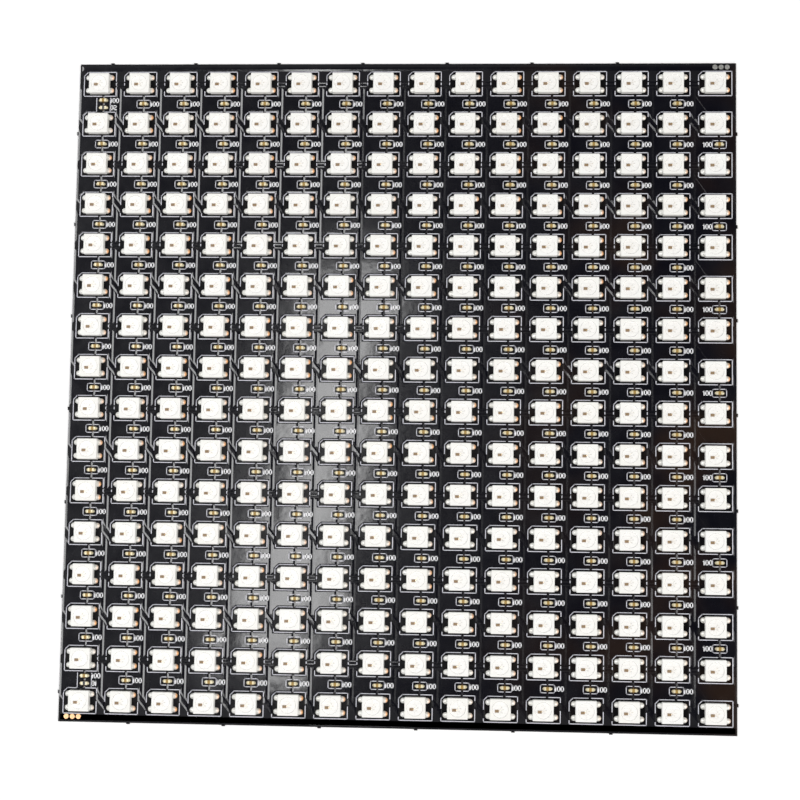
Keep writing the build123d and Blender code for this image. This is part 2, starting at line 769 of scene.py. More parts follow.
@dataclass(frozen=True)
class Housings:
    """White moulded bodies of the LEDs, each with a cut corner and a round window."""

    layout: Layout
    draft: float = math.radians(2.0)
    corner_bevel: float = 0.14 * MM
    edge_bevel: float = 0.08 * MM
    cut_width: float = 0.5 * MM
    cut_length: float = 0.6 * MM
    cut_height: float = 0.6 * MM
    window_radius: float = 2.0 * MM
    floor_radius: float = 1.9 * MM
    window_depth: float = 0.22 * MM
    window_facets: int = 20

    @property
    def floor_height(self) -> float:
        """Height of the window's floor."""
        return self.layout.led_top - self.window_depth

    def shape(self) -> bmesh.types.BMesh:
        """Build one body at the origin.

        Returns:
            The body's shape.
        """
        side = self.layout.led_side
        height = self.layout.led_top - self.layout.board_top
        middle_height = self.layout.board_top + height / 2
        shape = bmesh.new()
        add_block(shape, (side, side, height), (0.0, 0.0, middle_height))
        top = [vertex for vertex in shape.verts if vertex.co.z > middle_height]
        narrowing = 1.0 - 2 * height * math.tan(self.draft) / side
        bmesh.ops.scale(shape, verts=top, vec=(narrowing, narrowing, 1.0))
        upright = [edge for edge in shape.edges if sum(vertex in top for vertex in edge.verts) == 1]
        soften(shape, upright, self.corner_bevel)
        upper = [edge for edge in shape.edges if min(vertex.co.z for vertex in edge.verts) > middle_height]
        soften(shape, upper, self.edge_bevel)
        self._cut_corner(shape)
        self._open_window(shape)
        return shape

    def _cut_corner(self, shape: bmesh.types.BMesh) -> None:
        """Slice off the top of the corner that marks the first terminal.

        Args:
            shape: The body.
        """
        half = self.layout.led_side / 2
        top = self.layout.led_top
        along_bottom = Vector((-half + self.cut_width, -half, top))
        along_left = Vector((-half, -half + self.cut_length, top))
        down = Vector((-half, -half, top - self.cut_height))
        outward = (along_left - along_bottom).cross(down - along_bottom)
        outward *= -1.0 if outward.z < 0 else 1.0
        trim(shape, along_bottom, outward)

    def _open_window(self, shape: bmesh.types.BMesh) -> None:
        """Sink a round window with a sloping wall into the top face.

        Args:
            shape: The body.
        """
        top_face = max(shape.faces, key=lambda face: face.calc_center_median().z)
        outline = top_face.edges[:]
        bmesh.ops.delete(shape, geom=[top_face], context="FACES_ONLY")
        circle = bmesh.ops.create_circle(
            shape,
            segments=self.window_facets,
            radius=self.window_radius,
            cap_ends=False,
            matrix=Matrix.Translation((0.0, 0.0, self.layout.led_top)),
        )
        rim = list({edge for vertex in circle["verts"] for edge in vertex.link_edges})
        bmesh.ops.bridge_loops(shape, edges=outline + rim)
        wall = bmesh.ops.extrude_edge_only(shape, edges=rim)
        foot = new_of(wall, bmesh.types.BMVert)
        taper = self.floor_radius / self.window_radius
        bmesh.ops.scale(shape, verts=foot, vec=(taper, taper, 1.0))
        bmesh.ops.translate(shape, verts=foot, vec=(0.0, 0.0, -self.window_depth))
        for face in new_of(wall, bmesh.types.BMFace):
            face.smooth = True
        bmesh.ops.holes_fill(shape, edges=open_edges(shape), sides=0)

    def build(self, finish: MouldingFinish) -> None:
        """Make one piece of each row of bodies.

        Args:
            finish: Finish of the moulding.
        """
        material = finish.material()
        for row in range(1, self.layout.rows + 1):
            shape = repeat(self.shape(), self.layout.led_spots(row))
            finish_piece(shape, f"housing_row_{row:02d}", material, [f"led_row_{row:02d}"])


@dataclass(frozen=True)
class Joints:
    """Terminals of the LEDs and the solder that holds them."""

    layout: Layout
    joint_offset: float = 1.6 * MM
    solder_width: float = 1.4 * MM
    solder_reach: float = 1.05 * MM
    solder_height: float = 0.5 * MM
    solder_rise: float = 1.4
    solder_facets: int = 12
    solder_rings: int = 6
    strip_width: float = 0.9 * MM
    strip_thickness: float = 0.2 * MM
    strip_height: float = 0.8 * MM

    def solder_shape(self) -> bmesh.types.BMesh:
        """Build a drop of solder at the origin, which rises towards the LED on its left.

        Returns:
            The drop's shape, at the right wall of an LED.
        """
        radius = self.solder_width / 2
        straight = self.solder_reach - radius
        shape = bmesh.new()
        bmesh.ops.create_uvsphere(
            shape,
            u_segments=self.solder_facets,
            v_segments=self.solder_rings,
            radius=1.0,
            matrix=Matrix.Diagonal((radius, radius, self.solder_height, 1.0)),
        )
        trim(shape, (0.0, 0.0, 0.0), (0.0, 0.0, -1.0), close=False)
        trim(shape, (0.0, 0.0, 0.0), (-1.0, 0.0, 0.0), close=False)
        arch = [
            edge for edge in open_edges(shape) if all(abs(vertex.co.x) < TOUCH for vertex in edge.verts)
        ]
        grown = bmesh.ops.extrude_edge_only(shape, edges=arch)
        back = new_of(grown, bmesh.types.BMVert)
        bmesh.ops.scale(shape, verts=back, vec=(1.0, 1.0, self.solder_rise))
        bmesh.ops.translate(shape, verts=back, vec=(-straight, 0.0, 0.0))
        for face in shape.faces:
            face.smooth = True
        new_edges = new_of(grown, bmesh.types.BMEdge)
        back_edges = [edge for edge in new_edges if all(vertex in back for vertex in edge.verts)]
        bmesh.ops.contextual_create(shape, geom=back_edges)
        bmesh.ops.holes_fill(shape, edges=open_edges(shape), sides=0)
        foot = Vector((self.layout.led_side / 2 + straight, 0.0, self.layout.board_top))
        bmesh.ops.translate(shape, verts=shape.verts[:], vec=foot)
        return shape

    def strip_shape(self) -> bmesh.types.BMesh:
        """Build the metal strip of a terminal against the LED's right wall.

        Returns:
            The strip's shape.
        """
        shape = bmesh.new()
        size = (self.strip_thickness, self.strip_width, self.strip_height)
        middle = (self.layout.led_side / 2, 0.0, self.layout.board_top + self.strip_height / 2)
        add_block(shape, size, middle)
        return shape

    def four(self, unit: bmesh.types.BMesh) -> bmesh.types.BMesh:
        """Set a terminal's shape at its four places on an LED.

        Args:
            unit: The shape of the right-hand terminal, in line with the LED's middle; it is freed.

        Returns:
            The shape of all four.
        """
        offsets = [Vector((0.0, self.joint_offset, 0.0)), Vector((0.0, -self.joint_offset, 0.0))]
        right = repeat(unit, offsets)
        left = right.copy()
        bmesh.ops.rotate(left, verts=left.verts[:], matrix=Matrix.Rotation(math.pi, 3, "Z"))
        return repeat(left, [Vector()], right)

    def build(self, solder: SolderFinish, metal: MetalFinish) -> None:
        """Make the solder and the strips of each row.

        Args:
            solder: Finish of the solder.
            metal: Finish of the strips.
        """
        solder_material = solder.material()
        metal_material = metal.material()
        for row in range(1, self.layout.rows + 1):
            spots = self.layout.led_spots(row)
            drops = repeat(self.four(self.solder_shape()), spots)
            leads = f"lead_row_{row:02d}"
            finish_piece(drops, f"solder_row_{row:02d}", solder_material, [leads])
            strips = repeat(self.four(self.strip_shape()), spots)
            finish_piece(strips, f"terminals_row_{row:02d}", metal_material)


@dataclass(frozen=True)
class Optics:
    """What the window of each LED holds: plated frame, driver chip, dies, wires and resin."""

    layout: Layout
    housings: Housings
    plate_radius: float = 1.84 * MM
    plate_thickness: float = 0.03 * MM
    plate_facets: int = 20
    slit: float = 0.05 * MM
    band_half_width: float = 0.85 * MM
    driver_size: tuple[float, float, float] = (0.9 * MM, 0.66 * MM, 0.15 * MM)
    driver_spot: Point = (-0.78 * MM, -0.34 * MM)
    die_size: tuple[float, float, float] = (0.28 * MM, 0.24 * MM, 0.1 * MM)
    die_spots: tuple[Point, ...] = ((0.4 * MM, -0.6 * MM), (0.75 * MM, 0.05 * MM), (0.35 * MM, 0.55 * MM))
    wire_thickness: float = 0.03 * MM
    wire_facets: int = 3
    wire_bends: int = 4
    wire_start: float = 0.46
    wire_rise: float = 0.1
    resin_gap: float = 0.01 * MM

    @property
    def plate_top(self) -> float:
        """Height of the plated frame that the chips stand on."""
        return self.housings.floor_height + self.plate_thickness

    def plates_shape(self) -> bmesh.types.BMesh:
        """Build the frame's plates at the origin: a band across and two plates on each side of it.

        Returns:
            The shape of all five plates.
        """
        inner = self.band_half_width
        outer = inner + self.slit
        side = self.slit / 2
        up, down = Vector((0.0, 1.0, 0.0)), Vector((0.0, -1.0, 0.0))
        left, right = Vector((-1.0, 0.0, 0.0)), Vector((1.0, 0.0, 0.0))
        outlines = (
            ((up * inner, up), (down * inner, down)),
            ((up * outer, down), (left * side, right)),
            ((up * outer, down), (right * side, left)),
            ((down * outer, up), (left * side, right)),
            ((down * outer, up), (right * side, left)),
        )
        plates = bmesh.new()
        for cuts in outlines:
            plate = bmesh.new()
            bmesh.ops.create_circle(
                plate, segments=self.plate_facets, radius=self.plate_radius, cap_ends=True
            )
            for point, outward in cuts:
                trim(plate, point, outward, close=False)
            grown = bmesh.ops.extrude_face_region(plate, geom=plate.faces[:])
            rise = Vector((0.0, 0.0, self.plate_thickness))
            bmesh.ops.translate(plate, verts=new_of(grown, bmesh.types.BMVert), vec=rise)
            repeat(plate, [Vector((0.0, 0.0, self.housings.floor_height))], plates)
        return plates

    def driver_shape(self) -> bmesh.types.BMesh:
        """Build the driver chip at its place in an LED at the origin.

        Returns:
            The chip's shape.
        """
        shape = bmesh.new()
        add_block(shape, self.driver_size, (*self.driver_spot, self.plate_top + self.driver_size[2] / 2))
        return shape

    def dies_shape(self) -> bmesh.types.BMesh:
        """Build the three light-emitting dies.

        Returns:
            The shape of all three.
        """
        shape = bmesh.new()
        for spot in self.die_spots:
            add_block(shape, self.die_size, (*spot, self.plate_top + self.die_size[2] / 2))
        return shape

    def wires_shape(self) -> bmesh.types.BMesh:
        """Build a bond wire from the driver chip to each die, as a low arch.

        Returns:
            The shape of the wires.
        """
        wires = bmesh.new()
        start_x = self.driver_spot[0] + self.driver_size[0] * self.wire_start
        start = Vector((start_x, self.driver_spot[1], 0.0))
        for die in self.die_spots:
            span = Vector((*die, 0.0)) - start
            radius = span.length / 2
            wire = bmesh.new()
            bmesh.ops.create_circle(
                wire,
                segments=self.wire_facets,
                radius=self.wire_thickness / 2,
                cap_ends=True,
                matrix=Matrix.Translation((-radius, 0.0, 0.0)),
            )
            bmesh.ops.spin(
                wire,
                geom=wire.faces[:],
                cent=(0.0, 0.0, 0.0),
                axis=(0.0, 1.0, 0.0),
                angle=math.pi,
                steps=self.wire_bends,
            )
            bmesh.ops.scale(wire, verts=wire.verts[:], vec=(1.0, 1.0, self.wire_rise))
            turn = math.atan2(span.y, span.x)
            bmesh.ops.rotate(wire, verts=wire.verts[:], matrix=Matrix.Rotation(turn, 3, "Z"))
            middle = start + span / 2
            middle.z = self.plate_top + self.die_size[2]
            repeat(wire, [middle], wires)
        return wires

    def resin_shape(self) -> bmesh.types.BMesh:
        """Build the clear resin that fills the window.

        Returns:
            The resin's shape.
        """
        shape = bmesh.new()
        low = self.housings.floor_height + self.resin_gap / 2
        high = self.layout.led_top - self.resin_gap
        bmesh.ops.create_cone(
            shape,
            segments=self.housings.window_facets,
            radius1=self.housings.floor_radius - self.resin_gap,
            radius2=self.housings.window_radius - self.resin_gap,
            depth=high - low,
            cap_ends=True,
            matrix=Matrix.Translation((0.0, 0.0, (low + high) / 2)),
        )
        return shape

    def build(
        self,
        plating: MetalFinish,
        silicon: MatterFinish,
        emitter: MatterFinish,
        gold: MetalFinish,
        resin: MatterFinish,
    ) -> None:
        """Make one piece of each kind of part, for all the LEDs together.

        Args:
            plating: Finish of the frame's plates.
            silicon: Finish of the driver chip.
            emitter: Finish of the dies.
            gold: Finish of the wires.
            resin: Finish of the clear filling.
        """
        spots = self.layout.all_led_spots()
        finish_piece(repeat(self.plates_shape(), spots), "led_frames", plating.material())
        finish_piece(repeat(self.driver_shape(), spots), "driver_chips", silicon.material())
        finish_piece(repeat(self.dies_shape(), spots), "emitter_dies", emitter.material())
        finish_piece(repeat(self.wires_shape(), spots), "bond_wires", gold.material())
        finish_piece(repeat(self.resin_shape(), spots), "window_resin", resin.material())


@dataclass(frozen=True)
class Chips:
    """Chip capacitors and resistors: a block with metal ends, soldered down at both."""

    layout: Layout
    spots: ChipSpots
    end_length: float = 0.54 * MM
    end_skin: float = 0.02 * MM
    end_bevel: float = 0.07 * MM
    solder_facets: int = 8
    solder_rings: int = 6
    solder_climb: float = 0.75
    glaze_thickness: float = 0.04 * MM
    glaze_margin: float = 0.03 * MM

    def block_shape(self, node: str) -> bmesh.types.BMesh:
        """Build the ceramic block of a chip with its foot at the origin.

        Args:
            node: The chip's node.

        Returns:
            The block's shape.
        """
        height = self.spots.height(node) - self.end_skin
        width = self.spots.width(node) - 2 * self.end_skin
        length = self.spots.chip_length - self.end_length
        shape = bmesh.new()
        add_block(shape, (length, width, height), (0.0, 0.0, height / 2))
        return shape

    def ends_shape(self, node: str) -> bmesh.types.BMesh:
        """Build the two metal ends of a chip and the solder at them.

        Args:
            node: The chip's node.

        Returns:
            The shape of both ends.
        """
        height = self.spots.height(node)
        width = self.spots.width(node)
        drop_size = (self.spots.solder_reach, width / 2, height * self.solder_climb, 1.0)
        shape = bmesh.new()
        for side in Side:
            end = bmesh.new()
            middle = side.value * (self.spots.chip_length - self.end_length) / 2
            add_block(end, (self.end_length, width, height), (middle, 0.0, height / 2))
            upper = [edge for edge in end.edges if edge.verts[0].co.z + edge.verts[1].co.z > height]
            soften(end, upper, self.end_bevel)
            repeat(end, [Vector()], shape)
            drop = bmesh.new()
            bmesh.ops.create_uvsphere(
                drop,
                u_segments=self.solder_facets,
                v_segments=self.solder_rings,
                radius=1.0,
                matrix=Matrix.Diagonal(drop_size),
            )
            trim(drop, (0.0, 0.0, 0.0), (0.0, 0.0, -1.0))
            trim(drop, (0.0, 0.0, 0.0), (-side.value, 0.0, 0.0))
            foot = side.value * self.spots.chip_length / 2
            repeat(drop, [Vector((foot, 0.0, 0.0))], shape)
        return shape

    def glaze_shape(self, node: str) -> bmesh.types.BMesh:
        """Build the dark glaze over a resistor's top.

        Args:
            node: The resistor's node.

        Returns:
            The glaze's shape.
        """
        height = self.spots.height(node)
        width = self.spots.width(node) - 2 * self.glaze_margin
        length = self.spots.chip_length - 2 * self.end_length
        shape = bmesh.new()
        size = (length, width, self.glaze_thickness)
        add_block(shape, size, (0.0, 0.0, height - self.end_skin))
        return shape

    def build(
        self, ceramic: MatterFinish, alumina: MatterFinish, glaze: MatterFinish, solder: MetalFinish
    ) -> None:
        """Make the pieces of the capacitors and resistors.

        Args:
            ceramic: Finish of the capacitors' blocks.
            alumina: Finish of the resistors' blocks.
            glaze: Finish of the resistors' tops.
            solder: Finish of the metal ends and their solder.
        """
        ceramic_material = ceramic.material()
        solder_material = solder.material()
        for node in self.spots.capacitor_rows():
            spots = self.spots.spots(node)
            name = node.replace("capacitor", "capacitor_blocks")
            blocks = repeat(self.block_shape(node), spots)
            finish_piece(blocks, name, ceramic_material, [node])
            ends = repeat(self.ends_shape(node), spots)
            finish_piece(ends, name.replace("blocks", "ends"), solder_material)
        alumina_material = alumina.material()
        glaze_material = glaze.material()
        for node in RESISTOR_NODES:
            spots = self.spots.spots(node)
            block = repeat(self.block_shape(node), spots)
            finish_piece(block, f"{node}_block", alumina_material, [node])
            cover = repeat(self.glaze_shape(node), spots)
            finish_piece(cover, f"{node}_glaze", glaze_material)
            ends = repeat(self.ends_shape(node), spots)
            finish_piece(ends, f"{node}_ends", solder_material)


@dataclass(frozen=True)
class Film:
    """Relief of the black film over the copper, and the bare patches under the parts."""

    layout: Layout
    spots: ChipSpots
    thickness: float = 0.08 * MM
    slope: float = 0.43 * MM
    foot: float = 0.004 * MM
    track_width: float = 0.5 * MM
    track_slope: float = 0.2 * MM
    track_thickness: float = 0.035 * MM
    left_pour: tuple[Point, ...] = ((-3.86, -7.97), (-2.97, -7.1), (0.8, -7.1), (0.8, -2.9), (-3.86, -2.9))
    right_pour: tuple[Point, ...] = ((3.94, -2.9), (0.86, -2.9), (0.86, -7.1), (3.94, -7.1))
    odd_left_arm: tuple[Point, ...] = ((-3.86, -1.0), (-4.98, -1.0), (-4.98, -8.83), (-3.86, -10.15))
    odd_right_top: Line = ((4.94, -1.0), (3.94, -1.0))
    odd_right_foot: Line = ((3.94, -7.55), (4.94, -8.74))
    even_left_arm: tuple[Point, ...] = ((-3.86, -2.43), (-4.98, -1.1), (-4.98, -9.35), (-3.86, -9.35))
    even_right_top: Line = ((4.94, -1.01), (3.94, 0.17))
    even_right_foot: Line = ((3.94, -9.35), (4.94, -9.35))
    whole_pour: tuple[Point, ...] = (
        (-3.86, -1.0),
        (-4.98, -1.0),
        (-4.98, -8.83),
        (-3.86, -10.15),
        (-3.86, -7.97),
        (-2.97, -7.1),
        (3.94, -7.1),
        (3.94, -7.55),
        (4.94, -8.74),
        (4.94, -1.0),
        (3.94, -1.0),
        (3.94, -2.9),
        (-3.86, -2.9),
    )
    link_thickness: float = 0.1 * MM
    bay: tuple[Point, ...] = ((-3.8, -2.85), (3.9, -2.85), (3.9, 2.85), (-2.95, 2.85), (-3.8, 1.95))
    chip_bay: tuple[Point, ...] = ((-1.5, -0.72), (1.5, -0.72), (1.5, 0.72), (-1.5, 0.72))
    bay_slope: float = 0.09 * MM
    pad_gap: tuple[Point, ...] = ((-0.22, -0.8), (0.22, -0.8), (0.22, 0.8), (-0.22, 0.8))
    pad_gap_height: float = 0.09 * MM
    straight_tracks: tuple[Line, ...] = (((4.1, 0.35), (5.95, 0.35)), ((4.1, -0.45), (5.95, -0.45)))
    slanted_band: tuple[Point, ...] = ((3.94, 0.25), (6.1, -2.3), (6.1, -0.19), (3.94, 2.37))
    left_link: Line = ((-3.8, -3.9), (-1.1, -6.9))
    right_link: Line = ((-4.6, -3.1), (-1.9, -6.9))
    edge_margin: float = 0.4
    bus_margin: float = 1.8

    def plate(self, outline: Sequence[Point], height: float, slope: float) -> bmesh.types.BMesh:
        """Build a low plate with sloping sides on the board.

        Args:
            outline: Its corners in millimetres, anticlockwise.
            height: Height of its top above the board, in metres.
            slope: Width of its sloping sides, in metres.

        Returns:
            The plate's shape.
        """
        shape = bmesh.new()
        corners = [shape.verts.new((x * MM, y * MM, self.layout.board_top)) for x, y in outline]
        shape.faces.new(corners)
        grown = bmesh.ops.extrude_face_region(shape, geom=shape.faces[:])
        bmesh.ops.translate(shape, verts=new_of(grown, bmesh.types.BMVert), vec=(0.0, 0.0, self.foot))
        top = new_of(grown, bmesh.types.BMFace)
        bmesh.ops.inset_region(
            shape,
            faces=top,
            thickness=slope,
            depth=height - self.foot,
            use_even_offset=True,
            use_boundary=True,
        )
        return shape

    def pours_below(self, row: int) -> tuple[tuple[Point, ...], ...]:
        """Outline the two copper areas below an LED, which leave its row's tracks clear.

        Args:
            row: The LED's row.

        Returns:
            The left and the right outline, in millimetres from the LED's middle.
        """
        if row % 2:
            left = self.odd_left_arm + self.left_pour
            return left, self.odd_right_top + self.right_pour + self.odd_right_foot
        left = self.even_left_arm + self.left_pour
        return left, self.even_right_top + self.right_pour + self.even_right_foot

    def pours(self) -> bmesh.types.BMesh:
        """Build the film over the copper areas, and over the strips at the top and bottom.

        Returns:
            The film's shape.
        """
        whole = bmesh.new()
        for row in range(1, self.layout.rows):
            spots = self.layout.led_spots(row)
            if not self.layout.chip_below(row, self.layout.rows):
                repeat(self.plate(self.whole_pour, self.thickness, self.slope), [spots.pop()], whole)
            for outline in self.pours_below(row):
                repeat(self.plate(outline, self.thickness, self.slope), spots, whole)
        edge = self.layout.edge / MM
        side = edge - self.edge_margin
        for end in Side:
            near = end.value * (edge - self.bus_margin)
            far = end.value * side
            outline = ((-side, near), (side, near), (side, far), (-side, far))
            repeat(self.plate(outline, self.thickness, self.slope), [Vector()], whole)
        return whole

    def tracks(self) -> bmesh.types.BMesh:
        """Build the film over the thin tracks from LED to LED and from row to row.

        Returns:
            The film's shape.
        """
        whole = bmesh.new()
        rows = self.layout.rows
        for row in range(1, rows + 1):
            spots = self.layout.led_spots(row)
            if row % 2:
                for line in self.straight_tracks:
                    repeat(self.track(line, self.track_thickness), spots[:-1], whole)
            else:
                band = self.plate(self.slanted_band, self.thickness, self.slope)
                repeat(band, spots[:-1], whole)
            if row == rows:
                continue
            if row % 2:
                repeat(self.track(self.right_link, self.link_thickness), spots[-1:], whole)
            else:
                repeat(self.track(self.left_link, self.link_thickness), spots[:1], whole)
        return whole

    def track(self, line: Line, height: float) -> bmesh.types.BMesh:
        """Build the raised film over one track.

        Args:
            line: The track's ends, in millimetres.
            height: Height of the film's top above the board, in metres.

        Returns:
            The film's shape.
        """
        start, end = (Vector(point) for point in line)
        side = (end - start).orthogonal().normalized() * self.track_width / MM / 2
        outline = (start - side, end - side, end + side, start + side)
        return self.plate(outline, height, self.track_slope)

    def under_chips(self, outline: Sequence[Point], height: float) -> bmesh.types.BMesh:
        """Build a low patch under every capacitor and resistor.

        Args:
            outline: Its corners about the chip's middle, in millimetres.
            height: Height of its top above the board, in metres.

        Returns:
            The shape of all the patches.
        """
        whole = bmesh.new()
        for node in (*self.spots.capacitor_rows(), *RESISTOR_NODES):
            places = [Vector((spot.x, spot.y, 0.0)) for spot in self.spots.spots(node)]
            repeat(self.plate(outline, height, self.bay_slope), places, whole)
        return whole

    def build(self, board: FilmFinish, glossy: FilmFinish, shaded: FilmFinish, bare: MatterFinish) -> None:
        """Dress the board and make the relief's pieces.

        Args:
            board: Finish of the board itself.
            glossy: Finish of the film over the copper.
            shaded: Finish of the film close to the parts.
            bare: Finish of the board's base between a chip's pads.
        """
        dress_node("flex_board", board.material())
        glossy_material = glossy.material()
        shaded_material = shaded.material()
        finish_piece(self.pours(), "film_over_pours", glossy_material)
        finish_piece(self.tracks(), "film_over_tracks", glossy_material)
        bay = self.plate(self.bay, self.track_thickness, self.bay_slope)
        finish_piece(repeat(bay, self.layout.all_led_spots()), "film_under_leds", shaded_material)
        chip_bays = self.under_chips(self.chip_bay, self.thickness + self.foot)
        finish_piece(chip_bays, "film_under_chips", shaded_material)
        gaps = self.under_chips(self.pad_gap, self.pad_gap_height)
        finish_piece(gaps, "gaps_between_pads", bare.material())


def add_line(shape: bmesh.types.BMesh, line: Line, width: float, low: float, thickness: float) -> None:
    """Add a straight raised line.

    Args:
        shape: The shape that gets it.
        line: Its two ends, in millimetres.
        width: Its width, in metres.
        low: Height of its foot, in metres.
        thickness: Its own height, in metres.
    """
    start, end = (Vector((*point, 0.0)) * MM for point in line)
    span = end - start
    middle = (start + end) / 2
    middle.z = low + thickness / 2
    add_block(shape, (span.length + width, width, thickness), middle, math.atan2(span.y, span.x))


@dataclass(frozen=True)
class Legend:
    """White printed lines and plain numbers on the film."""

    layout: Layout
    line_width: float = 0.19 * MM
    bracket_width: float = 0.18 * MM
    figure_line_width: float = 0.23 * MM
    thickness: float = 0.105 * MM
    figure_width: float = 0.56
    figure_height: float = 1.0
    figure_step: float = 0.84
    narrow_step: float = 0.5
    stem_place: float = 0.1
    flag_end: float = -0.06
    flag_height: float = 0.8
    chip_shift: float = 1.0
    number_shift: float = 2.82
    corner_line: Line = ((-3.93, 2.08), (-3.0, 3.0))
    top_line: Line = ((-3.0, 3.0), (4.02, 3.0))
    bottom_line: Line = ((-3.93, -3.0), (4.02, -3.0))
    left_line: Line = ((-3.93, 2.08), (-3.93, -3.0))
    right_line: Line = ((4.02, 3.0), (4.02, -3.0))
    groove_gap: Point = (0.5, 1.3)
    odd_left: tuple[Line, ...] = (
        ((-3.93, 2.08), (-3.93, 0.8)),
        ((-3.93, 0.2), (-3.93, -0.2)),
        ((-3.93, -1.9), (-3.93, -3.0)),
    )
    odd_right: tuple[Line, ...] = (
        ((4.02, 3.0), (4.02, 0.8)),
        ((4.02, 0.2), (4.02, -0.2)),
        ((4.02, -0.9), (4.02, -3.0)),
    )
    even_left: tuple[Line, ...] = (((-3.93, 2.08), (-3.93, -0.05)), ((-3.93, -2.3), (-3.93, -3.0)))
    even_right: tuple[Line, ...] = (((4.02, 3.0), (4.02, 1.9)), ((4.02, -0.2), (4.02, -3.0)))
    bracket_lines: tuple[Line, ...] = (
        ((-1.42, 0.95), (-0.34, 0.95)),
        ((0.34, 0.95), (1.42, 0.95)),
        ((-1.42, -0.95), (-0.34, -0.95)),
        ((0.34, -0.95), (1.42, -0.95)),
        ((-1.67, -0.7), (-1.67, 0.7)),
        ((1.67, -0.7), (1.67, 0.7)),
        ((-1.67, 0.7), (-1.42, 0.95)),
        ((1.42, 0.95), (1.67, 0.7)),
        ((-1.42, -0.95), (-1.67, -0.7)),
        ((1.67, -0.7), (1.42, -0.95)),
    )
    tall_bracket_lines: tuple[Line, ...] = (
        ((-1.7, 1.5), (-1.7, -2.0)),
        ((1.7, 1.5), (1.7, -2.0)),
        ((-1.7, -2.0), (-0.5, -2.0)),
    )

    def figure(self, number: str) -> tuple[Line, ...]:
        """Draw a figure with its lower left corner at the origin.

        Args:
            number: The figure: 0, 1 or 2.

        Returns:
            Its strokes, in millimetres.
        """
        right, top, middle = self.figure_width, self.figure_height, self.figure_height / 2
        stem, flag = self.stem_place, (self.flag_end, self.flag_height * top)
        strokes = {
            "0": (
                ((0, 0), (right, 0)),
                ((right, 0), (right, top)),
                ((right, top), (0, top)),
                ((0, top), (0, 0)),
            ),
            "1": (((stem, 0), (stem, top)), ((stem, top), flag)),
            "2": (
                ((0, top), (right, top)),
                ((right, top), (right, middle)),
                ((right, middle), (0, middle)),
                ((0, middle), (0, 0)),
                ((0, 0), (right, 0)),
            ),
        }
        return strokes[number]

    def lines(self, strokes: Sequence[Line], width: float) -> bmesh.types.BMesh:
        """Build raised lines of ink.

        Args:
            strokes: The ends of each line, in millimetres.
            width: Their width, in metres.

        Returns:
            The lines' shape.
        """
        shape = bmesh.new()
        for stroke in strokes:
            add_line(shape, stroke, width, self.layout.board_top, self.thickness)
        return shape

    def number(self, text: str, left: float, low: float) -> bmesh.types.BMesh:
        """Build a number.

        Args:
            text: Its figures.
            left: Place of its left end, in millimetres.
            low: Height of its foot, in millimetres.

        Returns:
            The number's shape.
        """
        strokes = []
        for figure in text:
            strokes += [tuple((x + left, y + low) for x, y in stroke) for stroke in self.figure(figure)]
            left += self.step(figure)
        return self.lines(strokes, self.figure_line_width)

    def step(self, figure: str) -> float:
        """Width that a figure takes up, in millimetres."""
        return self.narrow_step if figure == "1" else self.figure_step

    def level(self, line: Line, gapped: bool) -> tuple[Line, ...]:
        """Break a level line of a frame where a groove between copper areas crosses it.

        Args:
            line: The whole line.
            gapped: Whether there is a groove.

        Returns:
            The two ends of the line, or all of it.
        """
        (left, y), (right, _) = line
        gap_left, gap_right = self.groove_gap
        return (((left, y), (gap_left, y)), ((gap_right, y), (right, y))) if gapped else (line,)

    def frames(self) -> bmesh.types.BMesh:
        """Build the frame around each LED, whose gaps let the tracks and grooves through.

        Returns:
            The shape of all the frames.
        """
        whole = bmesh.new()
        rows = self.layout.rows
        for row in range(1, rows + 1):
            left, right = (self.odd_left, self.odd_right) if row % 2 else (self.even_left, self.even_right)
            for column, spot in enumerate(self.layout.led_spots(row), start=1):
                strokes = (
                    self.corner_line,
                    *self.level(self.top_line, self.layout.chip_below(row - 1, column)),
                    *self.level(self.bottom_line, self.layout.chip_below(row, column)),
                    *(left if column > 1 else (self.left_line,)),
                    *(right if column < rows else (self.right_line,)),
                )
                repeat(self.lines(strokes, self.line_width), [spot], whole)
        return whole

    def brackets(self, spots: ChipSpots) -> bmesh.types.BMesh:
        """Build the bracket around each capacitor, and the tall one around a resistor too.

        Args:
            spots: Places of the chips.

        Returns:
            The shape of all the brackets.
        """
        whole = bmesh.new()
        for node in spots.capacitor_rows():
            places = [Vector((spot.x, spot.y, 0.0)) for spot in spots.spots(node)]
            if places[0].y > places[1].y + MM / 2:
                tall = Vector((places[0].x, places[1].y, 0.0))
                repeat(self.lines(self.tall_bracket_lines, self.bracket_width), [tall], whole)
                places = places[1:]
            repeat(self.lines(self.bracket_lines, self.bracket_width), places, whole)
        return whole

    def numbers(self, spots: ChipSpots) -> bmesh.types.BMesh:
        """Build the number beside each chip, which in the last column stands on its left.

        Args:
            spots: Places of the chips.

        Returns:
            The shape of all the numbers.
        """
        whole = bmesh.new()
        low = -self.figure_height / 2
        gap = self.number_shift - self.chip_shift
        width = self.narrow_step + self.figure_step + self.figure_width
        last_x = self.layout.column_x(self.layout.rows) + self.chip_shift * MM
        for node in spots.capacitor_rows():
            places = [Vector((spot.x, spot.y, 0.0)) for spot in spots.spots(node)]
            inner = [place for place in places if place.x < last_x - MM]
            outer = [place for place in places if place.x >= last_x - MM]
            repeat(self.number(CAPACITOR_NUMBER, gap, low), inner, whole)
            repeat(self.number(CAPACITOR_NUMBER, -gap - width, low), outer, whole)
        for node, text in zip(RESISTOR_NODES, RESISTOR_NUMBERS):
            spot = spots.spots(node)[0]
            repeat(self.number(text, gap, low), [Vector((spot.x, spot.y, 0.0))], whole)
        return whole

